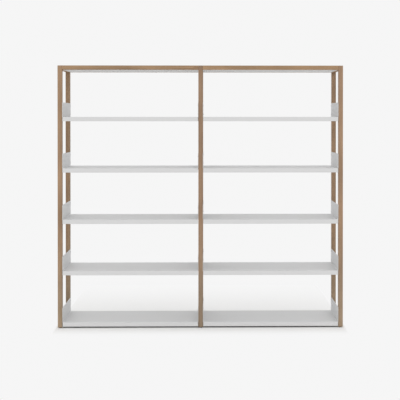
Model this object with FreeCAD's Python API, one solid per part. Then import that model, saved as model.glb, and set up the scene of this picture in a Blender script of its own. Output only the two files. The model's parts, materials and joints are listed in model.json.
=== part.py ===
import FreeCAD, Part
import math
import os
from FreeCAD import Placement, Rotation, Vector

# Two-bay shelving unit: six square oak posts joined at the top by oak rails,
# ten folded white steel shelf trays and two sunk top trays, on levelling feet.
# Millimetres. X runs along the width, -Y is the front, +Z is up.
# The origin is the middle of the footprint, on the floor.

# Overall sizes
unit_width = 2000.0
unit_depth = 350.0
unit_height = 1840.0
lowest_deck_height = 40.0
level_count = 5
column_names = ("left", "centre", "right")
bay_names = ("left", "right")
row_names = ("front", "rear")

# Oak posts and rails
post_side = 31.0
rail_height = 29.0
oak_edge_radius = 1.5

# Folded steel trays
sheet_thickness = 1.5
bend_radius = 1.0
lip_height = 30.0
lip_return = 12.0
wing_height = 102.0
wing_corner_radius = 4.0
wing_bolt_edge_distance = 20.0
bend_relief_radius = 1.2
tray_side_clearance = 0.3
tray_front_inset = 1.0
tray_rear_inset = 4.0

# Top trays, sunk between the rails with their floor level with the rails' underside
top_rim_drop = 1.0
top_tray_clearance = 0.4

# Shelf bolts: button heads with a hex socket, in brass inserts
bolt_diameter = 5.0
bolt_head_diameter = 9.5
bolt_head_height = 2.75
bolt_head_rim = 0.7
bolt_socket_across_flats = 3.0
bolt_socket_depth = 1.6
bolt_hole_clearance = 0.25
bolt_end_gap = 1.8
insert_diameter = 8.0
insert_web = 7.0
insert_hole_clearance = 0.1
thread_clearance = 0.1
drill_end_gap = 0.5

# Rail ends: one stud with a nut and a washer in a pocket, and one dowel
stud_diameter = 6.0
stud_post_wall = 8.0
stud_hole_clearance = 0.25
rail_end_wall = 22.0
nut_across_flats = 10.0
nut_height = 5.0
washer_diameter = 12.0
washer_thickness = 1.6
stud_nut_protrusion = 2.0
spanner_room = 14.0
pocket_clearance = 0.5
pocket_floor_wall = 3.5
dowel_diameter = 6.0
dowel_edge_wall = 3.0
dowel_chamfer = 0.8
dowel_hole_clearance = 0.1

# Side rail tenons
tenon_thickness = 10.0
tenon_shoulder = 5.0
tenon_stud_wall = 2.0
tenon_glue_gap = 0.1
tenon_end_gap = 0.3

# Screws that hold the top trays to the rails
screw_diameter = 3.5
screw_head_diameter = 7.0
screw_head_height = 2.2
screw_head_top_share = 0.6
screw_socket_across_flats = 2.0
screw_socket_depth = 1.3
screw_tip_length = 3.0
screw_tip_wall = 2.0
screw_hole_clearance = 0.2
screw_pilot_clearance = 0.05
rail_screw_shares = (0.2, 0.5, 0.8)
side_screw_shares = (0.25, 0.75)

# Levelling feet
pad_diameter = 22.0
pad_thickness = 3.0
pad_edge_radius = 0.8
pad_socket_depth = 1.9
foot_spigot_diameter = 7.0
foot_spigot_clearance = 0.1
foot_spigot_end_gap = 0.3
foot_hex_across_flats = 13.0
foot_hex_height = 2.0
foot_stem_diameter = 8.0
foot_stem_length = 25.0
foot_stem_chamfer = 0.8
foot_stop_gap = 0.3
foot_insert_diameter = 12.0
foot_insert_length = 18.0
foot_flange_diameter = 17.0
foot_flange_thickness = 1.2
foot_bore_clearance = 0.6
foot_bore_end_gap = 3.0

# One length that every cut runs past the surface it opens
overrun = 1.0

# Worked-out sizes
bay_count = len(bay_names)
bend_outer = bend_radius + sheet_thickness
column_step = (unit_width - post_side) / bay_count
level_pitch = (unit_height - lowest_deck_height) / level_count
front_face = -unit_depth / 2
rear_face = unit_depth / 2
rail_length = column_step - post_side
clear_depth = unit_depth - 2 * post_side
post_base = pad_thickness + foot_hex_height + foot_stop_gap
rail_middle = unit_height - rail_height / 2
insert_length = post_side / 2 - insert_web / 2
bolt_length = sheet_thickness + tray_side_clearance + insert_length - bolt_end_gap
washer_radius = washer_diameter / 2
pocket_half_height = washer_radius + pocket_clearance
rail_underside = unit_height - rail_height
stud_height = rail_underside + pocket_floor_wall + pocket_half_height
dowel_height = unit_height - dowel_edge_wall - dowel_diameter / 2
dowel_depth = insert_length
stud_reach = rail_end_wall + washer_thickness + nut_height + stud_nut_protrusion
tenon_length = post_side / 2 - stud_diameter / 2 - tenon_stud_wall
screw_length = sheet_thickness + top_tray_clearance + post_side / 2 - screw_tip_wall

up = Vector(0, 0, 1)
down = Vector(0, 0, -1)
to_right = Vector(1, 0, 0)
to_left = Vector(-1, 0, 0)
to_rear = Vector(0, 1, 0)
to_front = Vector(0, -1, 0)


def column_x(column):
    """X of the middle of a column of posts."""
    return -unit_width / 2 + post_side / 2 + column * column_step


def row_y(row):
    """Y of the middle of the front or rear row of posts."""
    return (front_face + post_side / 2, rear_face - post_side / 2)[row]


def inward_y(row):
    """Direction from a row of posts into the unit."""
    return (to_rear, to_front)[row]


def deck_height(level):
    """Height of the top of a shelf deck, counted from 0 at the bottom."""
    return lowest_deck_height + level * level_pitch


def bay_span(bay):
    """X of the post faces at the two ends of a bay."""
    half = post_side / 2
    return column_x(bay) + half, column_x(bay + 1) - half


def rail_end_joints():
    """Every end of a long rail: column, row, bay and direction into the rail."""
    joints = []
    for row in range(len(row_names)):
        for bay in range(bay_count):
            joints.append((bay, row, bay, to_right))
            joints.append((bay + 1, row, bay, to_left))
    return joints


def block(low, high):
    """Box between two corners."""
    size = high - low
    return Part.makeBox(size.x, size.y, size.z, low)


def rod(radius, length, start, direction):
    """Cylinder from a point along a direction."""
    return Part.makeCylinder(radius, length, start, direction)


def aimed(shape, start, direction):
    """A shape drawn along +Z, moved to a point and turned to a direction."""
    shape.Placement = Placement(start, Rotation(up, direction))
    return shape


def hexagon(across_flats, length):
    """Hexagonal bar along +Z from the origin."""
    radius = across_flats / 2 / math.cos(math.pi / 6)
    corners = []
    for step in range(6):
        angle = step * math.pi / 3
        corners.append(Vector(radius * math.cos(angle), radius * math.sin(angle), 0))
    outline = Part.makePolygon(corners + corners[:1])
    return Part.Face(outline).extrude(up * length)


def is_parallel(edge, direction):
    """True for a straight edge that runs along a direction."""
    along = edge.Vertexes[-1].Point - edge.Vertexes[0].Point
    return along.Length > 0 and along.cross(direction).Length < along.Length / 1000


def oak_stick(low, high, direction, ease_ends):
    """Square oak stick with its long edges eased, and its end edges if asked."""
    stick = block(low, high)
    edges = [edge for edge in stick.Edges if ease_ends or is_parallel(edge, direction)]
    return stick.makeFillet(oak_edge_radius, edges)


def fold_side(path, offset):
    """Lines and arcs along one face of a sheet folded at right angles along a path."""
    turn_radius = bend_radius + sheet_thickness / 2
    edges = []
    first_way = (path[1] - path[0]).normalize()
    here = path[0] + up.cross(first_way) * offset
    for before, corner, after in zip(path, path[1:], path[2:]):
        way_in = (corner - before).normalize()
        way_out = (after - corner).normalize()
        centre = corner + (way_out - way_in) * turn_radius
        arc_start = corner - way_in * turn_radius + up.cross(way_in) * offset
        arc_end = corner + way_out * turn_radius + up.cross(way_out) * offset
        arc_middle = centre + (corner - centre).normalize() * (arc_start - centre).Length
        edges.append(Part.LineSegment(here, arc_start).toShape())
        edges.append(Part.Arc(arc_start, arc_middle, arc_end).toShape())
        here = arc_end
    last_way = (path[-1] - path[-2]).normalize()
    edges.append(Part.LineSegment(here, path[-1] + up.cross(last_way) * offset).toShape())
    return edges


def folded_sheet(path, origin, across, length):
    """Sheet whose mid-plane follows a path of (sideways, height) points, drawn out."""
    flat_path = [Vector(sideways, height, 0) for sideways, height in path]
    half = sheet_thickness / 2
    near_side = fold_side(flat_path, half)
    far_side = fold_side(flat_path, -half)
    caps = []
    for index in (0, -1):
        start = near_side[index].Vertexes[index].Point
        end = far_side[index].Vertexes[index].Point
        caps.append(Part.LineSegment(start, end).toShape())
    outline = Part.Wire(Part.__sortEdges__(near_side + far_side + caps))
    sheet = Part.Face(outline).extrude(up * length)
    stand_up = Rotation(across, up, across.cross(up), "XYZ")
    sheet.Placement = Placement(origin, stand_up)
    return sheet


def button_bolt(head, direction):
    """Button-head bolt; the head's seat is at a point and the shank runs along a direction."""
    radius = bolt_head_diameter / 2
    crown = bolt_head_height - bolt_head_rim
    dome_radius = (radius * radius + crown * crown) / (2 * crown)
    rim = rod(radius, bolt_head_height, Vector(0, 0, -bolt_head_height), up)
    dome = Part.makeSphere(dome_radius, Vector(0, 0, dome_radius - bolt_head_height))
    socket = hexagon(bolt_socket_across_flats, bolt_socket_depth + overrun)
    socket.translate(down * (bolt_head_height + overrun))
    shank = rod(bolt_diameter / 2, bolt_length, Vector(0, 0, 0), up)
    bolt = rim.common(dome).cut(socket).fuse(shank).removeSplitter()
    return aimed(bolt, head, direction)


def tapping_screw(head, direction):
    """Pan-head wood screw; the head's seat is at a point, the shank runs along a direction."""
    radius = screw_head_diameter / 2
    shank_radius = screw_diameter / 2
    top_radius = radius * screw_head_top_share
    crown = Part.makeCone(radius, top_radius, screw_head_height, Vector(0, 0, 0), down)
    socket = hexagon(screw_socket_across_flats, screw_socket_depth + overrun)
    socket.translate(down * (screw_head_height + overrun))
    body_length = screw_length - screw_tip_length
    shank = rod(shank_radius, body_length, Vector(0, 0, 0), up)
    tip = Part.makeCone(shank_radius, 0, screw_tip_length, Vector(0, 0, body_length), up)
    screw = crown.cut(socket).fuse([shank, tip]).removeSplitter()
    return aimed(screw, head, direction)


def chamfered_rod(radius, length, chamfer, start, direction):
    """Cylinder with a chamfer at both ends."""
    bar = Part.makeCylinder(radius, length)
    rims = [edge for edge in bar.Edges if len(edge.Vertexes) == 1]
    return aimed(bar.makeChamfer(chamfer, rims), start, direction)


def shelf_bolt_places(level):
    """Bolt places of one level: bay, row, post face X, height and direction into the post."""
    places = []
    low = deck_height(level) + wing_bolt_edge_distance
    high = deck_height(level) + wing_height - wing_bolt_edge_distance
    for bay in range(bay_count):
        start, end = bay_span(bay)
        for row in range(len(row_names)):
            for height in (low, high):
                places.append((bay, row, start, height, to_left))
                places.append((bay, row, end, height, to_right))
    return places


def top_screw_places():
    """Screw places of the top trays: bay, seat on the tray and direction into the rail."""
    places = []
    inset = post_side + top_tray_clearance + sheet_thickness
    for bay in range(bay_count):
        start, end = bay_span(bay)
        for share in rail_screw_shares:
            x = start + share * rail_length
            places.append((bay, Vector(x, front_face + inset, rail_middle), to_front))
            places.append((bay, Vector(x, rear_face - inset, rail_middle), to_rear))
        gap = top_tray_clearance + sheet_thickness
        for share in side_screw_shares:
            y = front_face + post_side + share * clear_depth
            places.append((bay, Vector(start + gap, y, rail_middle), to_left))
            places.append((bay, Vector(end - gap, y, rail_middle), to_right))
    return places


def pilot_hole(seat, direction):
    """Hole in the wood for a top tray screw."""
    radius = screw_diameter / 2 + screw_pilot_clearance
    return rod(radius, screw_length + screw_pilot_clearance, seat, direction)


def foot_bore(x, y):
    """Hole up into a post for the foot insert, its flange and the stem."""
    floor = Vector(x, y, post_base - overrun)
    flange = rod(foot_flange_diameter / 2 + insert_hole_clearance,
                 foot_flange_thickness + overrun, floor, up)
    sleeve = rod(foot_insert_diameter / 2 + insert_hole_clearance,
                 foot_insert_length + overrun, floor, up)
    stem_top = pad_thickness + foot_hex_height + foot_stem_length
    stem = rod(foot_stem_diameter / 2 + foot_bore_clearance,
               stem_top + foot_bore_end_gap - floor.z, floor, up)
    return flange.fuse([sleeve, stem])


def make_post(column, row):
    """Square oak post with its holes for the inserts, the rails and the foot."""
    x = column_x(column)
    y = row_y(row)
    half = post_side / 2
    low = Vector(x - half, y - half, post_base)
    high = Vector(x + half, y + half, unit_height)
    cuts = [foot_bore(x, y)]
    insert_bore = insert_diameter / 2 + insert_hole_clearance
    for level in range(level_count):
        for bay, bolt_row, face, height, way in shelf_bolt_places(level):
            if bolt_row == row and abs(face - x) < post_side:
                start = Vector(face, y, height) - way * overrun
                depth = insert_length + drill_end_gap + overrun
                cuts.append(rod(insert_bore, depth, start, way))
    stud_bore = stud_diameter / 2 + stud_hole_clearance
    dowel_bore = dowel_diameter / 2 + dowel_hole_clearance
    through = 0 < column < bay_count
    for joint_column, joint_row, bay, way in rail_end_joints():
        if joint_column == column and joint_row == row:
            face = Vector(x, y, stud_height) + way * (half + overrun)
            depth = (post_side if through else post_side - stud_post_wall) + overrun
            cuts.append(rod(stud_bore, depth, face, -way))
            face = Vector(x, y, dowel_height) + way * (half + overrun)
            cuts.append(rod(dowel_bore, dowel_depth + drill_end_gap + overrun, face, -way))
    cuts.append(tenon(column, row, tenon_glue_gap, tenon_end_gap, overrun))
    return oak_stick(low, high, up, True).cut(cuts)


def tenon(column, row, side_gap, end_gap, root_overlap):
    """Tenon of a side rail in a post, or with gaps the mortise around it."""
    x = column_x(column)
    half_thickness = tenon_thickness / 2 + side_gap
    half_height = rail_height / 2 - tenon_shoulder + side_gap
    face = row_y(row) + inward_y(row).y * post_side / 2
    tip = face - inward_y(row).y * (tenon_length + end_gap)
    root = face + inward_y(row).y * root_overlap
    low = Vector(x - half_thickness, min(tip, root), rail_middle - half_height)
    high = Vector(x + half_thickness, max(tip, root), rail_middle + half_height)
    return block(low, high)


def make_side_rail(column):
    """Oak rail from a front post to a rear post, tenoned into both."""
    x = column_x(column)
    half = post_side / 2
    low = Vector(x - half, front_face + post_side, rail_underside)
    high = Vector(x + half, rear_face - post_side, unit_height)
    rail = oak_stick(low, high, to_rear, False)
    tenons = [tenon(column, row, 0, 0, overrun) for row in range(len(row_names))]
    pilots = []
    for bay, seat, way in top_screw_places():
        if way.y == 0 and abs(seat.x - x) < post_side:
            pilots.append(pilot_hole(seat, way))
    return rail.fuse(tenons).cut(pilots).removeSplitter()


def make_long_rail(bay, row):
    """Oak rail between two posts, with a nut pocket near each end."""
    start, end = bay_span(bay)
    y = row_y(row)
    half = post_side / 2
    low = Vector(start, y - half, rail_underside)
    high = Vector(end, y + half, unit_height)
    stud_bore = stud_diameter / 2 + stud_hole_clearance
    dowel_bore = dowel_diameter / 2 + dowel_hole_clearance
    pocket_length = washer_thickness + nut_height + stud_nut_protrusion + spanner_room
    cuts = []
    for face, way in ((start, to_right), (end, to_left)):
        cuts.append(rod(stud_bore, rail_end_wall + 2 * overrun,
                        Vector(face, y, stud_height) - way * overrun, way))
        cuts.append(rod(dowel_bore, dowel_depth + drill_end_gap + overrun,
                        Vector(face, y, dowel_height) - way * overrun, way))
        near = Vector(face, y, stud_height) + way * rail_end_wall
        far = near + way * pocket_length
        mouth = y + inward_y(row).y * (half + overrun)
        floor = y - inward_y(row).y * pocket_half_height
        cuts.append(block(
            Vector(min(near.x, far.x), min(mouth, floor), stud_height - pocket_half_height),
            Vector(max(near.x, far.x), max(mouth, floor), stud_height + pocket_half_height)))
    for screw_bay, seat, way in top_screw_places():
        if screw_bay == bay and way.y == -inward_y(row).y:
            cuts.append(pilot_hole(seat, way))
    return oak_stick(low, high, to_right, False).cut(cuts)


def make_shelf(bay, level):
    """Folded steel shelf: deck, two lips with returns, and two upturned end wings."""
    start, end = bay_span(bay)
    left = start + tray_side_clearance
    right = end - tray_side_clearance
    front = front_face + tray_front_inset
    rear = rear_face - tray_rear_inset
    deck = deck_height(level)
    half = sheet_thickness / 2
    sheet_level = deck - half
    return_level = deck - lip_height + half
    wing_top = deck + wing_height
    lip_path = [(front + lip_return, return_level), (front + half, return_level),
                (front + half, sheet_level), (rear - half, sheet_level),
                (rear - half, return_level), (rear - lip_return, return_level)]
    lips = folded_sheet(lip_path, Vector(left + bend_outer, 0, 0), to_rear,
                        right - left - 2 * bend_outer)
    wing_path = [(-right + half, wing_top), (-right + half, sheet_level),
                 (-left - half, sheet_level), (-left - half, wing_top)]
    wings = folded_sheet(wing_path, Vector(0, front + bend_outer, 0), to_left,
                         rear - front - 2 * bend_outer)
    corners = [edge for edge in wings.Edges
               if is_parallel(edge, to_right) and edge.Length < bend_outer
               and edge.CenterOfMass.z > wing_top - half]
    wings = wings.makeFillet(wing_corner_radius, corners)
    cuts = []
    hole_radius = bolt_diameter / 2 + bolt_hole_clearance
    for bolt_bay, row, face, height, way in shelf_bolt_places(level):
        if bolt_bay == bay:
            inner = Vector(face, row_y(row), height) - way * (bend_outer + overrun)
            cuts.append(rod(hole_radius, bend_outer + overrun, inner, way))
    for x in (left + bend_outer, right - bend_outer):
        for y in (front + bend_outer, rear - bend_outer):
            cuts.append(rod(bend_relief_radius, 2 * bend_outer,
                            Vector(x, y, deck - bend_outer), up))
    return lips.fuse(wings).removeSplitter().cut(cuts)


def make_top_tray(bay):
    """Upright pan that closes the top of a bay between the rails, with its walls up."""
    start, end = bay_span(bay)
    gap = top_tray_clearance
    low = Vector(start + gap, front_face + post_side + gap, rail_underside)
    high = Vector(end - gap, rear_face - post_side - gap, unit_height - top_rim_drop)
    wall = Vector(sheet_thickness, sheet_thickness, 0)
    outside = rounded_pan(low, high, bend_outer)
    inside = rounded_pan(low + wall + up * sheet_thickness, high - wall + up * overrun,
                         bend_radius)
    holes = []
    for screw_bay, seat, way in top_screw_places():
        if screw_bay == bay:
            holes.append(rod(screw_diameter / 2 + screw_hole_clearance,
                             sheet_thickness + 2 * overrun, seat - way * overrun, way))
    return outside.cut([inside] + holes)


def rounded_pan(low, high, radius):
    """Box with rounded upright edges and a rounded bottom edge."""
    pan = block(low, high)
    edges = [edge for edge in pan.Edges if edge.CenterOfMass.z < high.z - radius]
    return pan.makeFillet(radius, edges)


def make_shelf_bolts(level):
    """All the bolts of one shelf level, as separate solids."""
    seat_gap = tray_side_clearance + sheet_thickness
    bolts = []
    for bay, row, face, height, way in shelf_bolt_places(level):
        bolts.append(button_bolt(Vector(face, row_y(row), height) - way * seat_gap, way))
    return Part.makeCompound(bolts)


def make_shelf_inserts(level):
    """All the threaded inserts of one shelf level, as separate solids."""
    bore = bolt_diameter / 2 + thread_clearance
    inserts = []
    for bay, row, face, height, way in shelf_bolt_places(level):
        start = Vector(face, row_y(row), height)
        sleeve = rod(insert_diameter / 2, insert_length, start, way)
        inserts.append(sleeve.cut(rod(bore, insert_length + 2 * overrun,
                                      start - way * overrun, way)))
    return Part.makeCompound(inserts)


def make_rail_studs():
    """Studs of the long rails: one in each outer post, one through each inner post."""
    studs = []
    half = post_side / 2
    for row in range(len(row_names)):
        for column in range(bay_count + 1):
            middle = column_x(column)
            first = middle - half - stud_reach
            last = middle + half + stud_reach
            if column == 0:
                first = middle - half + stud_post_wall
            if column == bay_count:
                last = middle + half - stud_post_wall
            studs.append(rod(stud_diameter / 2, last - first,
                             Vector(first, row_y(row), stud_height), to_right))
    return Part.makeCompound(studs)


def pocket_seats():
    """Where each washer seats in its pocket, and the direction away from the post."""
    seats = []
    for column, row, bay, way in rail_end_joints():
        face = Vector(column_x(column), row_y(row), stud_height) + way * (post_side / 2)
        seats.append((face + way * rail_end_wall, way))
    return seats


def make_stud_washers():
    """A flat washer on each stud end."""
    bore = stud_diameter / 2 + stud_hole_clearance
    washers = []
    for seat, way in pocket_seats():
        disc = rod(washer_radius, washer_thickness, seat, way)
        washers.append(disc.cut(rod(bore, washer_thickness, seat, way)))
    return Part.makeCompound(washers)


def make_stud_nuts():
    """A hexagon nut on each stud end."""
    bore = stud_diameter / 2 + thread_clearance
    nuts = []
    for seat, way in pocket_seats():
        start = seat + way * washer_thickness
        nut = aimed(hexagon(nut_across_flats, nut_height), start, way)
        nuts.append(nut.cut(rod(bore, nut_height, start, way)))
    return Part.makeCompound(nuts)


def make_rail_dowels():
    """One beech dowel at each end of a long rail."""
    dowels = []
    for column, row, bay, way in rail_end_joints():
        face = Vector(column_x(column), row_y(row), dowel_height) + way * (post_side / 2)
        dowels.append(chamfered_rod(dowel_diameter / 2, 2 * dowel_depth, dowel_chamfer,
                                    face - way * dowel_depth, way))
    return Part.makeCompound(dowels)


def make_top_tray_screws():
    """All the screws of the top trays, as separate solids."""
    return Part.makeCompound([tapping_screw(seat, way) for bay, seat, way in top_screw_places()])


def make_foot_pad(x, y):
    """Round pad on the floor, with a socket for the stem."""
    pad = rod(pad_diameter / 2, pad_thickness, Vector(x, y, 0), up)
    rims = [edge for edge in pad.Edges if len(edge.Vertexes) == 1]
    pad = pad.makeFillet(pad_edge_radius, rims)
    socket = rod(foot_spigot_diameter / 2 + foot_spigot_clearance,
                 pad_socket_depth + overrun, Vector(x, y, pad_thickness + overrun), down)
    return pad.cut(socket)


def make_foot_stem(x, y):
    """Threaded stem with a hexagon collar and a spigot that turns in the pad."""
    spigot_length = pad_socket_depth - foot_spigot_end_gap
    spigot = rod(foot_spigot_diameter / 2, spigot_length, Vector(x, y, pad_thickness), down)
    collar = aimed(hexagon(foot_hex_across_flats, foot_hex_height),
                   Vector(x, y, pad_thickness), up)
    stem = chamfered_rod(foot_stem_diameter / 2, foot_stem_length + foot_stem_chamfer,
                         foot_stem_chamfer,
                         Vector(x, y, pad_thickness + foot_hex_height - foot_stem_chamfer), up)
    return collar.fuse([spigot, stem]).removeSplitter()


def make_foot_insert(x, y):
    """Flanged threaded insert in the foot of a post."""
    base = Vector(x, y, post_base)
    flange = rod(foot_flange_diameter / 2, foot_flange_thickness, base, up)
    sleeve = rod(foot_insert_diameter / 2, foot_insert_length, base, up)
    bore = rod(foot_stem_diameter / 2 + thread_clearance, foot_insert_length, base, up)
    return flange.fuse(sleeve).removeSplitter().cut(bore)


def save(shape, node):
    """Write one sub-part."""
    shape.exportStep("parts/" + node + ".step")


def build():
    """Make every sub-part of the unit."""
    os.makedirs("parts", exist_ok=True)
    for row, row_name in enumerate(row_names):
        for column, column_name in enumerate(column_names):
            place = row_name + "_" + column_name
            x = column_x(column)
            y = row_y(row)
            save(make_post(column, row), "post_" + place)
            save(make_foot_pad(x, y), "foot_pad_" + place)
            save(make_foot_stem(x, y), "foot_stem_" + place)
            save(make_foot_insert(x, y), "foot_insert_" + place)
        for bay, bay_name in enumerate(bay_names):
            save(make_long_rail(bay, row), "top_rail_" + row_name + "_" + bay_name)
    for column, column_name in enumerate(column_names):
        save(make_side_rail(column), "side_rail_" + column_name)
    for bay, bay_name in enumerate(bay_names):
        save(make_top_tray(bay), "top_tray_" + bay_name)
        for level in range(level_count):
            save(make_shelf(bay, level), "shelf_" + bay_name + "_" + str(level + 1))
    for level in range(level_count):
        save(make_shelf_bolts(level), "shelf_bolts_level_" + str(level + 1))
        save(make_shelf_inserts(level), "shelf_inserts_level_" + str(level + 1))
    save(make_rail_studs(), "rail_studs")
    save(make_stud_washers(), "rail_stud_washers")
    save(make_stud_nuts(), "rail_stud_nuts")
    save(make_rail_dowels(), "rail_dowels")
    save(make_top_tray_screws(), "top_tray_screws")


build()
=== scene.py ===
import json
import math
import random
import bpy
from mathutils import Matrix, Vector


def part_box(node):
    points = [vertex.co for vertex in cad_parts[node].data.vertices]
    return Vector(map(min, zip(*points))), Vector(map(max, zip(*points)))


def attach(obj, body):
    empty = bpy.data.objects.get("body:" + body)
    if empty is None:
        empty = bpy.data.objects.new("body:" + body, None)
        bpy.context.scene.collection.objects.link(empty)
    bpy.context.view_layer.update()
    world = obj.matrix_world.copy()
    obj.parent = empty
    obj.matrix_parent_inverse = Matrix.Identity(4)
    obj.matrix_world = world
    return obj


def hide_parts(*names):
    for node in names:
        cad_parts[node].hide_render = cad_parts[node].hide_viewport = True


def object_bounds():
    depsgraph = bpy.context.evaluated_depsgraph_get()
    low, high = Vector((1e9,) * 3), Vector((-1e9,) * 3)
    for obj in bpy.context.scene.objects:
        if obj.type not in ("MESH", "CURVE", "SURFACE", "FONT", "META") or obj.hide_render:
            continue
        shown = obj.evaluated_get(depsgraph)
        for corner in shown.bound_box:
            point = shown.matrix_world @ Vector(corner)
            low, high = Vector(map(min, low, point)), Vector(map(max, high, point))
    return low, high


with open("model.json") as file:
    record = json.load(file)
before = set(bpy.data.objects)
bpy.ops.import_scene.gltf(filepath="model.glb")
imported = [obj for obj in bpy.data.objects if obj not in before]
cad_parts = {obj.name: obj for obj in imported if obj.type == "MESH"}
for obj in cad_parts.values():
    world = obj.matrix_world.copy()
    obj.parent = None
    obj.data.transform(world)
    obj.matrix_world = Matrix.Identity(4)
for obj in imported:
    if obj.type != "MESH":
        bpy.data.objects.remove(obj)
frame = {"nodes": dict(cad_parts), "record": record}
cad_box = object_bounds()

# The looks of a two-bay shelving unit: oak posts and rails, white folded steel trays
# and levelling feet. Its solids keep their shapes and get their materials, and small
# fasteners are made again with sockets, grooves and threads. Lengths are in metres.
# X runs along the width, -Y is the front, +Z is up.

mm = 0.001
up = Vector((0, 0, 1))
to_right = Vector((1, 0, 0))
to_left = Vector((-1, 0, 0))
to_rear = Vector((0, 1, 0))
to_front = Vector((0, -1, 0))
along_x, along_y, along_z = range(3)

# Names of the repeated pieces, and of the body that doesn't move
column_names = ("left", "centre", "right")
bay_names = ("left", "right")
row_names = ("front", "rear")
level_count = 5
fixed_body = "frame"

# Camera, fitted to the posts, rails, lips and decks of the photograph: the focal length
# and the place of the optical axis are in its pixels
photo_side = 400
focal_pixels = 813.1
axis_row = 124.54
axis_column = 219.05
camera_place = Vector((0.0608, -5.8730, 1.4594))
camera_tilt = math.radians(-0.332)
camera_turn = math.radians(-0.691)
camera_roll = math.radians(0.002)
sensor_side = 36.0

# Light, floor and backdrop
sky_level = 0.87
lamp_level = 0.33
lamp_spread = math.radians(75)
lamp_tilt = math.radians(58)
plain_white = (1.0, 1.0, 1.0, 1.0)
backdrop_colour = (0.920, 0.920, 0.920, 1.0)
floor_colour = (0.920, 0.915, 0.900, 1.0)
floor_side = 60.0

# Soft shade on the floor: how far it reaches past the unit, and near the unit a step
# over which a share of it fades at once
shade_reach_side = 0.025
shade_reach_front = 0.20
shade_reach_rear = 1.15
shade_step_front = 0.010
shade_step_front_share = 0.24
shade_step_rear = 0.25
shade_step_rear_share = 0.50

# Painted shadow on the floor under the unit: its shade, how strong it is in the middle of
# the width, the X between which it grows to full at the ends, and how far inside the
# outline it fades
painted_shadow_share = 0.35
painted_shadow_middle_share = 0.55
painted_shadow_end_start = 0.80
painted_shadow_end_full = 0.96
painted_shadow_edge_side = 0.045
painted_shadow_edge_front = 0.030

# Oak and beech, as linear colours. A tone multiplies them in one post or rail, and in
# the posts the grey tint does so too, from a height down to where it is full. The listed
# tones are partly the wood's own and partly painted light: lighter on the front posts and
# darker on the rear left post.
oak_light = (0.390, 0.256, 0.158, 1.0)
oak_dark = (0.265, 0.164, 0.096, 1.0)
oak_pore = (0.140, 0.080, 0.044, 1.0)
oak_fleck = (0.460, 0.310, 0.205, 1.0)
oak_post_tone = (1.01, 1.01, 1.01, 1.0)
oak_rail_tone = (1.00, 0.98, 0.91, 1.0)
oak_tones_and_light = {"post_front_left": (1.08, 1.07, 1.06, 1.0),
             "post_front_centre": (1.02, 1.02, 1.06, 1.0),
             "post_front_right": (1.08, 1.07, 1.09, 1.0),
             "post_rear_left": (0.95, 0.95, 0.92, 1.0),
             "top_rail_front_left": (1.02, 1.00, 0.93, 1.0),
             "top_rail_front_right": (1.09, 1.07, 0.99, 1.0)}
oak_grey_tint = (0.94, 1.07, 1.16, 1.0)
oak_grey_from = 0.75
oak_grey_full = 0.03
beech_light = (0.620, 0.450, 0.310, 1.0)
beech_dark = (0.520, 0.360, 0.235, 1.0)
beech_pore = (0.380, 0.240, 0.150, 1.0)
beech_fleck = (0.500, 0.330, 0.210, 1.0)

# Wood: year rings round a heart outside the piece, and the early wood in each year
ring_width = 2.3 * mm
ring_width_shares = (0.80, 1.25)
ring_wobble = 0.9 * mm
wobble_width = 9.0 * mm
heart_nearest = 45.0 * mm
heart_farthest = 130.0 * mm
heart_wander = 5.0 * mm
early_full = 0.06
early_fades = 0.10
early_ends = 0.42

# Wood: sizes of its marks across and along the grain, and shifts of their noise
pore_width = 0.38 * mm
pore_length = 11.0 * mm
fibre_width = 1.5 * mm
fibre_length = 110.0 * mm
cloud_width = 80.0 * mm
cloud_length = 800.0 * mm
patch_width = 70.0 * mm
patch_length = 260.0 * mm
fleck_height = 0.7 * mm
fleck_width = 18.0 * mm
fleck_length = 4.0 * mm
worn_edge = 1.6 * mm
worn_full_share = 0.25
# Wood: a thin line of painted shade where a rail meets a post, its width and the share of it that
# is full
joint_shade_width = 1.3 * mm
joint_shade_full_share = 0.25
grain_shifts = (1.0, 50.0)
pore_shift = 3.0
patch_shift = 7.9

# Wood: the values between which a mark grows from none to full
pore_limits = (0.56, 0.66)
fleck_limits = (0.60, 0.70)
tone_limits = (-0.10, 0.85)
end_grain_limits = (0.75, 0.95)

# Wood: how much each mark counts in the tone, and how far it covers the colour
tone_start = -0.50
early_tone = 0.42
year_tone = 0.22
fibre_tone = 0.75
cloud_tone = 0.60
patch_strength = 0.80
fleck_cover = 0.35
pore_cover = 0.75
late_pore_share = 0.15
end_grain_cover = 0.45
worn_cover = 0.50
worn_fibre_share = 0.8
worn_least_share = 0.1
# How dark the painted shade at the rail and post joints is
joint_shade_cover = 0.75

# Wood: its gloss, and how much each mark counts in its roughness and its relief
wood_gloss = 0.30
wood_rough = 0.44
pore_rough = 0.22
fibre_rough = 0.14
worn_rough = -0.08
wood_relief = 0.12 * mm
pore_height = -0.80
fibre_height = 0.35
early_height = -0.20

# Powder coat: pebbled skin, slow clouds, specks, and a lighter, smoother coat at the folds
coat_white = (0.719, 0.720, 0.722, 1.0)
coat_edge = (0.769, 0.770, 0.772, 1.0)
coat_pebble = 0.75 * mm
bolt_coat_pebble = 0.4 * mm
coat_cloud = 400.0 * mm
coat_cloud_shade = 0.82
coat_cloud_cover = 0.10
coat_speck_pebbles = 2.2
coat_speck_limits = (0.70, 0.76)
coat_speck_cover = 0.10
coat_fold = 1.2 * mm
coat_fold_cover = 0.50
coat_rough = 0.42
coat_cloud_rough = 0.14
coat_skin_rough = 0.10
coat_fold_rough = -0.10
coat_relief = 0.035 * mm

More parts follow.
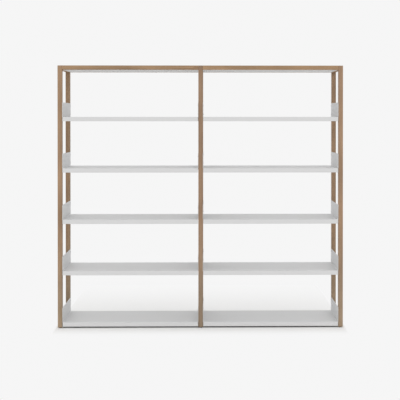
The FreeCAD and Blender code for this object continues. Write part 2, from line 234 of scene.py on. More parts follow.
# Zinc and brass: fine drawn grain, stains and brighter edges
zinc_colour = (0.620, 0.630, 0.640, 1.0)
zinc_stain = (0.520, 0.515, 0.480, 1.0)
zinc_rough = 0.26
brass_colour = (0.720, 0.550, 0.270, 1.0)
brass_stain = (0.480, 0.340, 0.150, 1.0)
brass_rough = 0.28
metal_grain = 0.5 * mm
metal_cloud = 9.0 * mm
metal_edge = 0.3 * mm
stain_limits = (0.45, 0.75)
stain_cover = 0.60
bright_shade = 1.25
bright_cover = 0.50
stain_rough = 0.16
metal_grain_rough = 0.10
metal_relief = 0.02 * mm

# Moulded nylon: fine skin, greyer where its edges are rubbed
nylon_black = (0.040, 0.039, 0.038, 1.0)
nylon_worn = (0.110, 0.108, 0.105, 1.0)
nylon_grain = 0.35 * mm
nylon_cloud = 12.0 * mm
nylon_edge = 0.5 * mm
rub_limits = (0.35, 0.65)
rub_shares = (0.3, 0.9)
nylon_rough = 0.48
nylon_grain_rough = 0.14
nylon_cloud_rough = 0.10
nylon_relief = 0.03 * mm

# How far a rounded edge turns the surface, as a cosine: none and full
edge_limits = (0.97, 0.80)
edge_samples = 4

# Sizes that the trays and their fasteners share with the solids
post_side = 31.0 * mm
rail_height = 29.0 * mm
lip_height = 30.0 * mm
wing_height = 102.0 * mm
wing_bolt_edge_distance = 20.0 * mm
sheet_thickness = 1.5 * mm
tray_side_clearance = 0.3 * mm
top_tray_clearance = 0.4 * mm
rail_screw_shares = (0.2, 0.5, 0.8)
side_screw_shares = (0.25, 0.75)

# Button-head bolts and their inserts
bolt_radius = 2.5 * mm
bolt_head_radius = 4.75 * mm
bolt_head_height = 2.75 * mm
bolt_head_rim = 0.7 * mm
bolt_socket_half = 1.5 * mm
bolt_socket_depth = 1.6 * mm
bolt_socket_mouth_share = 1.25
bolt_length = 12.0 * mm
bolt_tip_chamfer = 0.6 * mm
insert_radius = 4.0 * mm
insert_bore = 2.6 * mm
insert_length = 12.0 * mm
insert_groove = 0.25 * mm
insert_groove_count = 5
insert_land_share = 0.55
insert_groove_floor_shares = (0.65, 0.90)

# Rail ends
stud_radius = 3.0 * mm
stud_post_wall = 8.0 * mm
stud_reach = 30.6 * mm
stud_under_top = 19.0 * mm
stud_chamfer = 0.45 * mm
rail_end_wall = 22.0 * mm
washer_radius = 6.0 * mm
washer_bore = 3.25 * mm
washer_thickness = 1.6 * mm
nut_half = 5.0 * mm
nut_bore = 3.1 * mm
nut_height = 5.0 * mm
nut_chamfer = 0.3 * mm
dowel_radius = 3.0 * mm
dowel_depth = 12.0 * mm
dowel_under_top = 6.0 * mm
dowel_chamfer = 0.8 * mm
dowel_flute = 0.2 * mm
dowel_flute_count = 12

# Pan-head screws of the top trays
screw_radius = 1.75 * mm
screw_head_radius = 3.5 * mm
screw_head_height = 2.2 * mm
screw_head_top_share = 0.6
screw_head_rim = 0.6 * mm
screw_head_draft = 0.3 * mm
screw_socket_half = 1.0 * mm
screw_socket_depth = 1.3 * mm
screw_socket_mouth_share = 1.3
screw_length = 15.4 * mm
screw_tip_length = 3.0 * mm
screw_pitch = 1.6 * mm
screw_thread_depth = 0.4 * mm

# Threaded stems of the levelling feet
stem_radius = 4.0 * mm
stem_length = 25.0 * mm
stem_chamfer = 0.8 * mm
stem_pitch = 1.25 * mm
stem_thread_start_share = 0.25
stem_thread_depth = 0.6 * mm
collar_half = 6.5 * mm
collar_height = 2.0 * mm
collar_chamfer = 0.3 * mm
spigot_radius = 3.5 * mm
spigot_length = 1.6 * mm
pad_thickness = 3.0 * mm

# How the small hardware is shaped: a hexagon socket narrows to its floor, and a thread's
# flanks are steepened by a share and cut flat by another at root and crest
small_chamfer = 0.15 * mm
socket_floor_share = 0.9
flank_share = 1.4
flat_share = 0.2
hex_sides = 6

# How finely the small hardware is made
round_steps = 36
dome_steps = 6
thread_steps = 8
smooth_angle = math.radians(32)


# Shader nodes

def add_node(tree, kind, inputs=None, **settings):
    """A shader node with its settings; its inputs are given values or joined to sockets."""
    node = tree.nodes.new(kind)
    for name, value in settings.items():
        setattr(node, name, value)
    for name, value in (inputs or {}).items():
        if isinstance(value, bpy.types.NodeSocket):
            tree.links.new(value, node.inputs[name])
        else:
            node.inputs[name].default_value = value
    return node


def calc(tree, operation, *values):
    """The result of a sum on numbers or sockets."""
    node = add_node(tree, "ShaderNodeMath", dict(enumerate(values)), operation=operation)
    return node.outputs[0]


def rise(tree, value, low, high, start=0.0, end=1.0):
    """Goes smoothly from start to end while a value goes from low to high."""
    inputs = {"Value": value, "From Min": low, "From Max": high, "To Min": start, "To Max": end}
    node = add_node(tree, "ShaderNodeMapRange", inputs, interpolation_type="SMOOTHSTEP")
    return node.outputs[0]


def mix_colours(tree, share, first, second):
    """From a first colour to a second one by a share."""
    node = tree.nodes.new("ShaderNodeMix")
    node.data_type = "RGBA"
    wanted = {"Factor_Float": share, "A_Color": first, "B_Color": second}
    for socket in node.inputs:
        value = wanted.get(socket.identifier)
        if isinstance(value, bpy.types.NodeSocket):
            tree.links.new(value, socket)
        elif value is not None:
            socket.default_value = value
    return [socket for socket in node.outputs if socket.identifier == "Result_Color"][0]


def lay_over(tree, colour, cover, share, strength):
    """A colour with another laid over it, by a share times a strength."""
    return mix_colours(tree, calc(tree, "MULTIPLY", share, strength), colour, cover)


def add_up(tree, start, *terms):
    """A start, with the value of each term times its weight added to it."""
    total = start
    for value, weight in terms:
        total = calc(tree, "MULTIPLY_ADD", value, weight, total)
    return total


def shaded(colour, share):
    """A colour made darker or lighter by a share."""
    return tuple(min(1.0, share * part) for part in colour[:3]) + (1.0,)


def tinted(colour, tint):
    """A colour multiplied by a tint."""
    return tuple(part * share for part, share in zip(colour, tint))


def join_vector(tree, x, y, z):
    """A vector from three numbers or sockets."""
    return add_node(tree, "ShaderNodeCombineXYZ", {0: x, 1: y, 2: z}).outputs[0]


def noise(tree, vector, detail=1.0, scale=1.0):
    """Noise from 0 to 1, one blob for each unit of the vector."""
    inputs = {"Vector": vector, "Scale": scale, "Detail": detail}
    return add_node(tree, "ShaderNodeTexNoise", inputs).outputs[0]


def new_material(name):
    """A material with its node tree and its shader."""
    material = bpy.data.materials.new(name)
    material.use_nodes = True
    shader = material.node_tree.nodes["Principled BSDF"]
    return material, material.node_tree, shader


def dress(tree, shader, colour, roughness, height, depth):
    """Join colour, roughness and a height with its depth in metres to the shader."""
    tree.links.new(colour, shader.inputs["Base Color"])
    tree.links.new(roughness, shader.inputs["Roughness"])
    bump = add_node(tree, "ShaderNodeBump", {"Height": height, "Distance": depth, "Strength": 1.0})
    tree.links.new(bump.outputs[0], shader.inputs["Normal"])


def object_place(tree):
    """Place in the frame, in metres, that rides with the piece."""
    return add_node(tree, "ShaderNodeTexCoord").outputs["Object"]


def edge_share(tree, radius):
    """Near 1 at an outer or inner edge, by how a rounding of this radius would bend it."""
    soft = add_node(tree, "ShaderNodeBevel", {"Radius": radius}, samples=edge_samples).outputs[0]
    plain = add_node(tree, "ShaderNodeNewGeometry").outputs["Normal"]
    dot = add_node(tree, "ShaderNodeVectorMath", {0: soft, 1: plain}, operation="DOT_PRODUCT")
    return rise(tree, dot.outputs["Value"], *edge_limits)


# Materials

class Wood:
    """One piece of solid wood: its places across and along the grain, rings and marks."""

    def __init__(self, tree, name, axis, corners):
        self.tree = tree
        self.axis = axis
        self.middle = (corners[0] + corners[1]) / 2
        self.half = (corners[1] - corners[0]) / 2
        self.chance = random.Random(name)
        self.place = add_node(tree, "ShaderNodeSeparateXYZ", {0: object_place(tree)}).outputs
        self.sides = [side for side in range(3) if side != axis]
        self.shift = self.chance.uniform(*grain_shifts)
        self.across = [calc(tree, "SUBTRACT", self.place[side], self.middle[side])
                       for side in self.sides]
        self.along = calc(tree, "ADD", self.place[axis], self.shift)
        self.find_heart()
        self.find_years()
        self.find_marks()

    def grain(self, width, length, detail=1.0, shift=0.0):
        """Noise with blobs of a width across the grain and a length along it."""
        tree = self.tree
        first, second = [calc(tree, "DIVIDE", place, width) for place in self.across]
        third = calc(tree, "MULTIPLY_ADD", self.along, 1 / length, shift)
        return noise(tree, join_vector(tree, first, second, third), detail)

    def find_heart(self):
        """The way and distance from the trunk's heart, which wanders beside the piece."""
        tree = self.tree
        way = self.chance.uniform(0, 2 * math.pi)
        self.heart_distance = self.chance.uniform(heart_nearest, heart_farthest)
        cloud = self.grain(cloud_width, cloud_length, detail=0.0, shift=self.shift)
        wander = calc(tree, "MULTIPLY", cloud, heart_wander)
        self.out = []
        for place, share in zip(self.across, (math.cos(way), math.sin(way))):
            heart = calc(tree, "ADD", wander, self.heart_distance * share)
            self.out.append(calc(tree, "SUBTRACT", place, heart))
        flat = join_vector(tree, *self.out, 0.0)
        self.radius = add_node(tree, "ShaderNodeVectorMath", {0: flat},
                               operation="LENGTH").outputs["Value"]

    def find_years(self):
        """How much each place is early wood, and a number from 0 to 1 for its year."""
        tree = self.tree
        wobble = self.grain(wobble_width, fibre_length, detail=2.0)
        wobbled = calc(tree, "MULTIPLY_ADD", wobble, ring_wobble, self.radius)
        width = ring_width * self.chance.uniform(*ring_width_shares)
        years = calc(tree, "DIVIDE", wobbled, width)
        season = calc(tree, "FRACT", years)
        self.early = calc(tree, "MULTIPLY", rise(tree, season, 0.0, early_full),
                          rise(tree, season, early_ends, early_fades))
        self.year = add_node(tree, "ShaderNodeTexWhiteNoise", {"W": calc(tree, "FLOOR", years)},
                             noise_dimensions="1D").outputs["Value"]

    def find_marks(self):
        """Open pores, most of them in the early wood, and fibres."""
        tree = self.tree
        pores = rise(tree, self.grain(pore_width, pore_length, shift=pore_shift), *pore_limits)
        open_share = calc(tree, "MULTIPLY_ADD", self.early, 1.0 - late_pore_share, late_pore_share)
        self.pores = calc(tree, "MULTIPLY", pores, open_share)
        self.fibres = self.grain(fibre_width, fibre_length, detail=4.0)

    def flecks(self):
        """Short rays that point to the heart."""
        tree = self.tree
        turn = calc(tree, "ARCTAN2", self.out[1], self.out[0])
        place = join_vector(tree, calc(tree, "MULTIPLY", turn, self.heart_distance / fleck_height),
                            calc(tree, "DIVIDE", self.radius, fleck_width),
                            calc(tree, "DIVIDE", self.along, fleck_length))
        return rise(tree, noise(tree, place), *fleck_limits)

    def sawn_colour(self, light, dark, pore, fleck):
        """Colour of the sides: a tone of years, fibres and clouds, flecks, pores and patches."""
        tree = self.tree
        cloud = self.grain(cloud_width, cloud_length, detail=2.0)
        tone = add_up(tree, tone_start, (self.early, early_tone), (self.year, year_tone),
                      (self.fibres, fibre_tone), (cloud, cloud_tone))
        colour = mix_colours(tree, rise(tree, tone, *tone_limits), light, dark)
        colour = lay_over(tree, colour, fleck, self.flecks(), fleck_cover)
        colour = lay_over(tree, colour, pore, self.pores, pore_cover)
        patches = self.grain(patch_width, patch_length, detail=2.0, shift=patch_shift)
        level = calc(tree, "MULTIPLY_ADD", patches, patch_strength, 1.0 - patch_strength / 2)
        return add_node(tree, "ShaderNodeVectorMath", {0: colour, "Scale": level},
                        operation="SCALE").outputs[0]

    def end_faces(self):
        """1 on the faces that are cut across the grain."""
        normal = add_node(self.tree, "ShaderNodeTexCoord").outputs["Normal"]
        facing = add_node(self.tree, "ShaderNodeSeparateXYZ", {0: normal}).outputs[self.axis]
        return rise(self.tree, calc(self.tree, "ABSOLUTE", facing), *end_grain_limits)

    def worn_edges(self):
        """Near 1 along the four long edges, in threads that follow the fibres."""
        tree = self.tree
        gaps = [calc(tree, "SUBTRACT", self.half[side], calc(tree, "ABSOLUTE", place))
                for side, place in zip(self.sides, self.across)]
        edge = rise(tree, calc(tree, "MAXIMUM", *gaps), worn_edge, worn_full_share * worn_edge)
        threads = add_up(tree, worn_least_share, (self.fibres, worn_fibre_share))
        return calc(tree, "MULTIPLY", edge, threads)

    def joint(self, shoulder):
        """1 at the thin line of painted shade where the piece meets a post, this far from its
        middle.
        """
        tree = self.tree
        from_middle = calc(tree, "SUBTRACT", self.place[self.axis], self.middle[self.axis])
        to_joint = calc(tree, "SUBTRACT", calc(tree, "ABSOLUTE", from_middle), shoulder)
        return rise(tree, calc(tree, "ABSOLUTE", to_joint), joint_shade_width,
                    joint_shade_full_share * joint_shade_width)

    def greyed_low(self, colour):
        """A post's colour, greyer toward the floor."""
        tree = self.tree
        greyed = rise(tree, self.place[along_z], oak_grey_from, oak_grey_full)
        tint = mix_colours(tree, greyed, plain_white, oak_grey_tint)
        return add_node(tree, "ShaderNodeVectorMath", {0: colour, 1: tint},
                        operation="MULTIPLY").outputs[0]


def wood_material(name, axis, corners, colours, shoulder=None):
    """Solid wood along an axis; a shoulder is how far from its middle it meets a post."""
    dark, pore, fleck = colours[1:]
    material, tree, shader = new_material(name)
    wood = Wood(tree, name, axis, corners)
    worn = wood.worn_edges()
    colour = wood.sawn_colour(*colours)
    colour = lay_over(tree, colour, dark, wood.end_faces(), end_grain_cover)
    colour = lay_over(tree, colour, fleck, worn, worn_cover)
    if shoulder is not None:
        # Painted shade: a dark line at each joint of a rail and a post
        colour = lay_over(tree, colour, pore, wood.joint(shoulder), joint_shade_cover)
    if axis == along_z:
        colour = wood.greyed_low(colour)
    roughness = add_up(tree, wood_rough, (wood.pores, pore_rough), (wood.fibres, fibre_rough),
                       (worn, worn_rough))
    height = add_up(tree, 0.0, (wood.fibres, fibre_height), (wood.pores, pore_height),
                    (wood.early, early_height))
    shader.inputs["Specular IOR Level"].default_value = wood_gloss
    dress(tree, shader, colour, roughness, height, wood_relief)
    return material


def coat_material(name, pebble):
    """White powder coat: a fine pebbled skin, lighter and smoother at the folds."""
    material, tree, shader = new_material(name)
    place = object_place(tree)
    skin = noise(tree, place, detail=2.0, scale=1 / pebble)
    cloud = noise(tree, place, detail=3.0, scale=1 / coat_cloud)
    speck = noise(tree, place, detail=0.0, scale=1 / (coat_speck_pebbles * pebble))
    speck = rise(tree, speck, *coat_speck_limits)
    fold = edge_share(tree, coat_fold)
    colour = lay_over(tree, coat_white, shaded(coat_white, coat_cloud_shade), cloud,
                      coat_cloud_cover)
    colour = lay_over(tree, colour, coat_edge, fold, coat_fold_cover)
    colour = lay_over(tree, colour, coat_edge, speck, coat_speck_cover)
    roughness = add_up(tree, coat_rough, (cloud, coat_cloud_rough), (skin, coat_skin_rough),
                       (fold, coat_fold_rough))
    dress(tree, shader, colour, roughness, skin, coat_relief)
    return material


def metal_material(name, plain, stain, rough):
    """Plated or plain metal with a fine drawn grain, faint stains and brighter edges."""
    material, tree, shader = new_material(name)
    place = object_place(tree)
    fine = noise(tree, place, detail=3.0, scale=1 / metal_grain)
    cloud = noise(tree, place, detail=4.0, scale=1 / metal_cloud)
    stained = rise(tree, cloud, *stain_limits)
    edge = edge_share(tree, metal_edge)
    colour = lay_over(tree, plain, stain, stained, stain_cover)
    colour = lay_over(tree, colour, shaded(plain, bright_shade), edge, bright_cover)
    roughness = add_up(tree, rough, (stained, stain_rough), (fine, metal_grain_rough))
    shader.inputs["Metallic"].default_value = 1.0
    dress(tree, shader, colour, roughness, fine, metal_relief)
    return material


def nylon_material(name):
    """Moulded black nylon with a fine spark-eroded skin, greyer where it is rubbed."""
    material, tree, shader = new_material(name)
    place = object_place(tree)
    skin = noise(tree, place, detail=2.0, scale=1 / nylon_grain)
    cloud = noise(tree, place, detail=2.0, scale=1 / nylon_cloud)
    edge = edge_share(tree, nylon_edge)
    rubbed = calc(tree, "MULTIPLY", edge, rise(tree, cloud, *rub_limits, *rub_shares))
    colour = mix_colours(tree, rubbed, nylon_black, nylon_worn)
    roughness = add_up(tree, nylon_rough, (skin, nylon_grain_rough), (cloud, nylon_cloud_rough))
    dress(tree, shader, colour, roughness, skin, nylon_relief)
    return material


def paint(piece, material):
    """Give a piece one material all over."""
    if not piece.material_slots:
        piece.data.materials.append(material)
    for one_slot in piece.material_slots:
        one_slot.material = material


# Small hardware, turned from rings of points

def point_round(turn, reach, height):
    """The point at an angle round the Z axis, a distance out from it, at a height."""
    return Vector((reach * math.cos(turn), reach * math.sin(turn), height))


def ring(shape, radius, height):
    """Points round the Z axis: a circle, or a hexagon with its flats at the radius."""
    points = []
    for step in range(round_steps):
        turn = 2 * math.pi * step / round_steps
        reach = radius
        if shape == "hex":
            side_step = step % (round_steps // hex_sides)
            side_turn = 2 * math.pi * side_step / round_steps
            reach = radius / math.cos(side_turn - math.pi / hex_sides)
        points.append(point_round(turn, reach, height))
    return points


def rings(profile):
    """Rings from a list of (shape, radius, height)."""
    return [ring(*entry) for entry in profile]


class Shells:
    """Collects closed shells, then makes one mesh piece of them."""

    def __init__(self):
        self.points = []
        self.faces = []

    def add(self, loops, place, way, hollow=False):
        """A shell through loops of points drawn along +Z, turned to a direction at a place."""
        turn = up.rotation_difference(way).to_matrix()
        base = len(self.points)
        count = len(loops[0])
        for loop in loops:
            self.points += [turn @ point + place for point in loop]
        spans = len(loops) if hollow else len(loops) - 1
        for row in range(spans):
            near = base + row * count
            far = base + (row + 1) % len(loops) * count
            for step in range(count):
                after = (step + 1) % count
                self.faces.append((near + step, near + after, far + after, far + step))
        if not hollow:
            last = base + (len(loops) - 1) * count
            self.faces.append([base + step for step in reversed(range(count))])
            self.faces.append([last + step for step in range(count)])

    def piece(self, name, body, slot, material, *nodes):
        """The finished piece: it rides on a body and stands for solids of the frame."""
        mesh = bpy.data.meshes.new(name)
        mesh.from_pydata(self.points, [], self.faces)
        mesh.validate()
        mesh.shade_smooth()
        mesh.set_sharp_from_angle(angle=smooth_angle)
        made = bpy.data.objects.new(name, mesh)
        bpy.context.scene.collection.objects.link(made)
        paint(made, material)
        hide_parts(*nodes)
        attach(made, body)
        return made


def bolt_loops():
    """Button-head bolt along +Z with its seat at zero and a hexagon socket in its head."""
    top = -bolt_head_height
    crown = bolt_head_height - bolt_head_rim
    dome = (bolt_head_radius ** 2 + crown ** 2) / (2 * crown)
    mouth = bolt_socket_half * bolt_socket_mouth_share
    profile = [("hex", bolt_socket_half * socket_floor_share, top + bolt_socket_depth),
               ("hex", bolt_socket_half, top + bolt_socket_depth - small_chamfer),
               ("hex", bolt_socket_half, top + 2 * small_chamfer)]
    for step in range(dome_steps + 1):
        radius = mouth + (bolt_head_radius - mouth) * step / dome_steps
        profile.append(("round", radius, top + dome - math.sqrt(dome ** 2 - radius ** 2)))
    profile += [("round", bolt_head_radius, -small_chamfer),
                ("round", bolt_head_radius - small_chamfer, 0.0),
                ("round", bolt_radius, 0.0),
                ("round", bolt_radius, bolt_length - bolt_tip_chamfer),
                ("round", bolt_radius - bolt_tip_chamfer, bolt_length)]
    return rings(profile)


def insert_loops():
    """Threaded insert along +Z from zero, grooved outside, with a plain bore."""
    profile = [("round", insert_bore, insert_length), ("round", insert_bore, 0.0),
               ("round", insert_radius - small_chamfer, 0.0),
               ("round", insert_radius, small_chamfer)]
    pitch = (insert_length - 2 * small_chamfer) / insert_groove_count
    floor_start, floor_end = insert_groove_floor_shares
    for groove in range(insert_groove_count):
        start = small_chamfer + groove * pitch
        profile += [("round", insert_radius, start + insert_land_share * pitch),
                    ("round", insert_radius - insert_groove, start + floor_start * pitch),
                    ("round", insert_radius - insert_groove, start + floor_end * pitch),
                    ("round", insert_radius, start + pitch)]
    profile.append(("round", insert_radius - small_chamfer, insert_length))
    return rings(profile)


def washer_loops():
    """Flat washer along +Z from zero."""
    return rings([("round", washer_bore, 0.0),
                  ("round", washer_radius - small_chamfer, 0.0),
                  ("round", washer_radius, small_chamfer),
                  ("round", washer_radius, washer_thickness - small_chamfer),
                  ("round", washer_radius - small_chamfer, washer_thickness),
                  ("round", washer_bore, washer_thickness)])


def nut_loops():
    """Hexagon nut along +Z from zero, chamfered at both ends."""
    return rings([("round", nut_bore + nut_chamfer, 0.0),
                  ("hex", nut_half - nut_chamfer, 0.0),
                  ("hex", nut_half, nut_chamfer),
                  ("hex", nut_half, nut_height - nut_chamfer),
                  ("hex", nut_half - nut_chamfer, nut_height),
                  ("round", nut_bore + nut_chamfer, nut_height),
                  ("round", nut_bore, nut_height - nut_chamfer),
                  ("round", nut_bore, nut_chamfer)])


def stud_loops(length):
    """Plain stud along +Z from zero, chamfered at both ends."""
    return rings([("round", stud_radius - stud_chamfer, 0.0),
                  ("round", stud_radius, stud_chamfer),
                  ("round", stud_radius, length - stud_chamfer),
                  ("round", stud_radius - stud_chamfer, length)])


def dowel_loops():
    """Fluted beech dowel along +Z from zero, chamfered at both ends."""
    length = 2 * dowel_depth
    plain = [(dowel_radius - dowel_chamfer, 0.0, 0.0),
             (dowel_radius, dowel_chamfer, 0.0),
             (dowel_radius, 2 * dowel_chamfer, 1.0),
             (dowel_radius, length - 2 * dowel_chamfer, 1.0),
             (dowel_radius, length - dowel_chamfer, 0.0),
             (dowel_radius - dowel_chamfer, length, 0.0)]
    loops = []
    for radius, height, share in plain:
        loop = []
        for step in range(round_steps):
            turn = 2 * math.pi * step / round_steps
            fluted = share * dowel_flute * (0.5 - 0.5 * math.cos(dowel_flute_count * turn))
            loop.append(point_round(turn, radius - fluted, height))
        loops.append(loop)
    return loops


def thread_loops(radius, depth, pitch, start, end, tip_length=0.0):
    """Right-hand thread along +Z, drawn as loops that follow its ridge, with a tapered tip."""
    loops = []
    count = round((end - start) / pitch * thread_steps)
    for row in range(count + 1):
        height = start + (end - start) * row / count
        taper = 1.0
        if tip_length:
            taper = min(1.0, (end - height) / tip_length)
        loop = []
        for step in range(round_steps):
            turn = 2 * math.pi * step / round_steps
            phase = (height / pitch - step / round_steps) % 1.0
            flank = (1 - abs(2 * phase - 1)) * flank_share - flat_share
            ridge = min(1.0, max(0.0, flank))
            reach = (radius - depth * (1 - ridge)) * taper
            loop.append(point_round(turn, reach, height))
        loops.append(loop)
    return loops


def screw_loops():
    """Pan-head wood screw along +Z with its seat at zero."""
    top = -screw_head_height
    crown = screw_head_radius * screw_head_top_share
    mouth = screw_socket_half * screw_socket_mouth_share
    head = [("hex", screw_socket_half * socket_floor_share, top + screw_socket_depth),
            ("hex", screw_socket_half, top + screw_socket_depth - small_chamfer),
            ("hex", screw_socket_half, top + small_chamfer),
            ("round", mouth, top),
            ("round", crown, top),
            ("round", screw_head_radius - screw_head_draft, -screw_head_rim),
            ("round", screw_head_radius, -small_chamfer),
            ("round", screw_head_radius - small_chamfer, 0.0),
            ("round", screw_radius, 0.0)]
    shank = thread_loops(screw_radius, screw_thread_depth, screw_pitch,
                         screw_pitch, screw_length - small_chamfer, screw_tip_length)
    return rings(head) + shank


def stem_loops():
    """Threaded stem along +Z: a spigot below zero, a hexagon collar and the thread."""
    foot = [("round", spigot_radius - collar_chamfer, -spigot_length),
            ("round", spigot_radius, collar_chamfer - spigot_length),
            ("round", spigot_radius, 0.0),
            ("hex", collar_half - collar_chamfer, 0.0),
            ("hex", collar_half, collar_chamfer),
            ("hex", collar_half, collar_height - collar_chamfer),
            ("hex", collar_half - collar_chamfer, collar_height),
            ("round", stem_radius - stem_thread_depth, collar_height)]
    top = collar_height + stem_length
    thread = thread_loops(stem_radius, stem_thread_depth, stem_pitch,
                          collar_height + stem_thread_start_share * stem_pitch,
                          top - stem_chamfer)
    tip = [("round", stem_radius - stem_chamfer, top)]
    return rings(foot) + thread + rings(tip)


# Places, read from the frame

def post_box(row, column):
    """Lowest and highest corner of a post."""
    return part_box("post_" + row_names[row] + "_" + column_names[column])


def post_middle(row, column):
    """X and Y of the middle of a post."""
    low, high = post_box(row, column)
    return (low.x + high.x) / 2, (low.y + high.y) / 2


def bay_span(bay):
    """X of the post faces at the two ends of a bay."""
    return post_box(0, bay)[1].x, post_box(0, bay + 1)[0].x


def deck_height(level):
    """Height of the top of a shelf deck, counted from 1 at the bottom."""
    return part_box("shelf_left_" + str(level))[0].z + lip_height


def shelf_bolt_places(level):
    """Bolts of one level: the place on the post face and the direction into the post."""
    places = []
    low = deck_height(level) + wing_bolt_edge_distance
    high = deck_height(level) + wing_height - wing_bolt_edge_distance
    for bay in range(len(bay_names)):
        start, end = bay_span(bay)
        for row in range(len(row_names)):
            y = post_middle(row, bay)[1]
            for height in (low, high):
                places.append((Vector((start, y, height)), to_left))
                places.append((Vector((end, y, height)), to_right))
    return places


def rail_end_places(under_top):
    """Both ends of each long rail: the place on the post face and the way into the rail."""
    places = []
    for row in range(len(row_names)):
        for bay in range(len(bay_names)):
            start, end = bay_span(bay)
            y = post_middle(row, bay)[1]
            height = unit_top - under_top
            places.append((Vector((start, y, height)), to_right))
            places.append((Vector((end, y, height)), to_left))
    return places


def tray_screw_places():
    """Screws of the top trays: the seat inside the tray and the direction into the rail."""
    places = []
    height = unit_top - rail_height / 2
    inset = post_side + top_tray_clearance + sheet_thickness
    gap = top_tray_clearance + sheet_thickness
    front = cad_box[0].y
    rear = cad_box[1].y
    for bay in range(len(bay_names)):
        start, end = bay_span(bay)
        for share in rail_screw_shares:
            x = start + share * (end - start)
            places.append((Vector((x, front + inset, height)), to_front))
            places.append((Vector((x, rear - inset, height)), to_rear))
        for share in side_screw_shares:
            y = front + post_side + share * (rear - front - 2 * post_side)
            places.append((Vector((start + gap, y, height)), to_left))
            places.append((Vector((end - gap, y, height)), to_right))
    return places


# Pieces

def make_shelf_fasteners(level):
    """Bolts and inserts of one shelf level."""
    seat_gap = tray_side_clearance + sheet_thickness
    bolts = Shells()
    inserts = Shells()
    for place, way in shelf_bolt_places(level):
        bolts.add(bolt_loops(), place - way * seat_gap, way)
        inserts.add(insert_loops(), place, way, hollow=True)
    bolts.piece("button_bolts_level_" + str(level), fixed_body, "white_bolts", bolt_coat,
                "shelf_bolts_level_" + str(level))
    inserts.piece("threaded_inserts_level_" + str(level), fixed_body, "brass", brass,
                  "shelf_inserts_level_" + str(level))


def make_rail_fasteners():
    """Washers, nuts and dowels at the ends of the long rails."""
    washers = Shells()
    nuts = Shells()
    dowels = Shells()
    for place, way in rail_end_places(stud_under_top):
        washers.add(washer_loops(), place + way * rail_end_wall, way, hollow=True)
        nuts.add(nut_loops(), place + way * (rail_end_wall + washer_thickness), way, hollow=True)
    for place, way in rail_end_places(dowel_under_top):
        dowels.add(dowel_loops(), place - way * dowel_depth, way)
    washers.piece("stud_washers", fixed_body, "zinc_steel", zinc, "rail_stud_washers")
    nuts.piece("stud_nuts", fixed_body, "zinc_steel", zinc, "rail_stud_nuts")
    dowels.piece("rail_end_dowels", fixed_body, "beech", beech, "rail_dowels")


def make_studs():
    """A stud through each inner post top, and one half into each outer post top."""
    studs = Shells()
    last_column = len(column_names) - 1
    for row in range(len(row_names)):
        for column in range(len(column_names)):
            low, high = post_box(row, column)
            start = low.x - stud_reach
            end = high.x + stud_reach
            if column == 0:
                start = low.x + stud_post_wall
            if column == last_column:
                end = high.x - stud_post_wall
            place = Vector((start, post_middle(row, column)[1], unit_top - stud_under_top))
            studs.add(stud_loops(end - start), place, to_right)
    studs.piece("joining_studs", fixed_body, "zinc_steel", zinc, "rail_studs")


def make_tray_screws():
    """Pan-head screws of both top trays."""
    screws = Shells()
    for place, way in tray_screw_places():
        screws.add(screw_loops(), place, way)
    screws.piece("tray_screws", fixed_body, "white_bolts", bolt_coat, "top_tray_screws")


def make_stem(row, column):
    """Threaded stem of one levelling foot."""
    name = "foot_stem_" + row_names[row] + "_" + column_names[column]
    x, y = post_middle(row, column)
    stem = Shells()
    stem.add(stem_loops(), Vector((x, y, pad_thickness)), up)
    stem.piece("threaded_" + name, name, "zinc_steel", zinc, name)


def oak_material(node, axis):
    """Oak for one post or rail, with its own heart and rings, and a tone that is partly painted
    light.
    """
    usual_tone = oak_post_tone if axis == along_z else oak_rail_tone
    tone = oak_tones_and_light.get(node, usual_tone)
    colours = [tinted(colour, tone) for colour in (oak_light, oak_dark, oak_pore, oak_fleck)]
    low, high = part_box(node)
    shoulders = {along_x: (high.x - low.x) / 2, along_y: cad_box[1].y - post_side}
    return wood_material("oak_" + node, axis, (low, high), colours, shoulders.get(axis))


def finish_nodes():
    """Give every solid that is carried over its material."""
    by_slot = {"white_steel": white_coat, "foot_plastic": nylon, "brass": brass,
               "zinc_steel": zinc, "white_bolts": bolt_coat, "beech": beech}
    grain_axis = {"post": along_z, "top": along_x, "side": along_y}
    for subpart in frame["record"]["subparts"]:
        node = subpart["node"]
        slot = subpart["material_slot"]
        if slot == "oak":
            paint(frame["nodes"][node], oak_material(node, grain_axis[node.split("_")[0]]))
        else:
            paint(frame["nodes"][node], by_slot[slot])


# Surroundings

def seen_directly(tree):
    """1 for rays that come from the camera, a mirror or a glass, and 0 for light."""
    path = add_node(tree, "ShaderNodeLightPath")
    first = calc(tree, "MAXIMUM", path.outputs["Is Camera Ray"], path.outputs["Is Glossy Ray"])
    return calc(tree, "MAXIMUM", first, path.outputs["Is Transmission Ray"])


def make_sky():
    """Even white light from all round, and a pale backdrop where it is seen."""
    world = bpy.data.worlds.new("studio")
    bpy.context.scene.world = world
    world.use_nodes = True
    tree = world.node_tree
    tree.nodes.clear()
    light = add_node(tree, "ShaderNodeBackground",
                     {"Color": plain_white, "Strength": sky_level})
    backdrop = add_node(tree, "ShaderNodeBackground",
                        {"Color": backdrop_colour, "Strength": 1.0})
    both = add_node(tree, "ShaderNodeMixShader", {0: seen_directly(tree), 1: light.outputs[0],
                                                  2: backdrop.outputs[0]})
    add_node(tree, "ShaderNodeOutputWorld", {"Surface": both.outputs[0]})


def make_lamp():
    """One wide soft lamp, weaker than the sky, from the front and above."""
    lamp = bpy.data.lights.new("soft_lamp", "SUN")
    lamp.energy = lamp_level
    lamp.angle = lamp_spread
    made = bpy.data.objects.new("soft_lamp", lamp)
    made.rotation_euler = (lamp_tilt, 0, 0)
    bpy.context.scene.collection.objects.link(made)


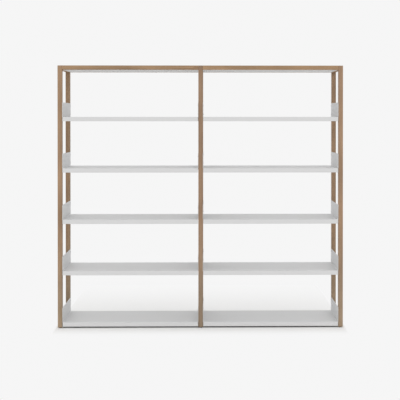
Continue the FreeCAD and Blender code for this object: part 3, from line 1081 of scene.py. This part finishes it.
def floor_shares(tree):
    """How far a place is out of the unit's soft shade, and how much painted shadow lies under the
    unit.
    """
    place = add_node(tree, "ShaderNodeSeparateXYZ", {0: object_place(tree)})
    aside = calc(tree, "ABSOLUTE", place.outputs["X"])
    y = place.outputs["Y"]
    beside = calc(tree, "SUBTRACT", aside, cad_box[1].x)
    before = calc(tree, "SUBTRACT", cad_box[0].y, y)
    behind = calc(tree, "SUBTRACT", y, cad_box[1].y)
    shares = []
    for gap, reach in ((beside, shade_reach_side), (before, shade_reach_front),
                       (behind, shade_reach_rear)):
        shares.append(calc(tree, "DIVIDE", calc(tree, "MAXIMUM", gap, 0.0), reach))
    out = add_node(tree, "ShaderNodeVectorMath", {0: join_vector(tree, *shares)},
                   operation="LENGTH").outputs["Value"]
    shade = rise(tree, out, 0.0, 1.0, 1.0, 0.0)
    for gap, step, share in ((before, shade_step_front, shade_step_front_share),
                             (behind, shade_step_rear, shade_step_rear_share)):
        shade = calc(tree, "MULTIPLY", shade, rise(tree, gap, 0.0, step, 1.0, 1.0 - share))
    # Painted shadow under the unit, stronger toward its two ends and fading at its outline
    under = rise(tree, aside, painted_shadow_end_start, painted_shadow_end_full, painted_shadow_middle_share, 1.0)
    for gap, edge in ((beside, painted_shadow_edge_side), (before, painted_shadow_edge_front),
                      (behind, painted_shadow_edge_side)):
        under = calc(tree, "MULTIPLY", under, rise(tree, gap, -edge, 0.0, 1.0, 0.0))
    return calc(tree, "SUBTRACT", 1.0, shade), under


def make_floor():
    """Pale floor that keeps the unit's shadow, with a painted shadow under the unit, and fades
    into the backdrop.
    """
    half = floor_side / 2
    mesh = bpy.data.meshes.new("floor")
    corners = [(-half, -half, 0), (half, -half, 0), (half, half, 0), (-half, half, 0)]
    mesh.from_pydata(corners, [], [(0, 1, 2, 3)])
    floor = bpy.data.objects.new("floor", mesh)
    bpy.context.scene.collection.objects.link(floor)
    material = bpy.data.materials.new("pale_floor")
    material.use_nodes = True
    tree = material.node_tree
    tree.nodes.clear()
    beyond, under = floor_shares(tree)
    # Painted shadow: the floor's colour darkened under the unit
    ground = mix_colours(tree, under, floor_colour, shaded(floor_colour, painted_shadow_share))
    matt = add_node(tree, "ShaderNodeBsdfDiffuse", {"Color": ground})
    plain = add_node(tree, "ShaderNodeEmission", {"Color": backdrop_colour, "Strength": 1.0})
    share = calc(tree, "MULTIPLY", beyond, seen_directly(tree))
    both = add_node(tree, "ShaderNodeMixShader", {0: share, 1: matt.outputs[0],
                                                  2: plain.outputs[0]})
    add_node(tree, "ShaderNodeOutputMaterial", {"Surface": both.outputs[0]})
    mesh.materials.append(material)


def make_camera():
    """Camera at the photograph's place, almost level, with the frame shifted down."""
    camera = bpy.data.cameras.new("camera")
    camera.sensor_fit = "HORIZONTAL"
    camera.sensor_width = sensor_side
    camera.lens = focal_pixels / photo_side * sensor_side
    camera.shift_x = 0.5 - axis_column / photo_side
    camera.shift_y = axis_row / photo_side - 0.5
    made = bpy.data.objects.new("camera", camera)
    made.location = camera_place
    made.rotation_euler = (math.pi / 2 + camera_tilt, camera_roll, camera_turn)
    bpy.context.scene.collection.objects.link(made)
    bpy.context.scene.camera = made


unit_top = cad_box[1].z
white_coat = coat_material("white_powder_coat", coat_pebble)
bolt_coat = coat_material("white_bolt_paint", bolt_coat_pebble)
zinc = metal_material("zinc_plate", zinc_colour, zinc_stain, zinc_rough)
brass = metal_material("plain_brass", brass_colour, brass_stain, brass_rough)
nylon = nylon_material("black_nylon")
beech = wood_material("beech_dowels", along_x, cad_box,
                      (beech_light, beech_dark, beech_pore, beech_fleck))

make_sky()
make_lamp()
make_floor()
make_camera()
finish_nodes()
for level in range(1, level_count + 1):
    make_shelf_fasteners(level)
make_rail_fasteners()
make_studs()
make_tray_screws()
for row in range(len(row_names)):
    for column in range(len(column_names)):
        make_stem(row, column)

bpy.context.scene.view_settings.view_transform = "Standard"
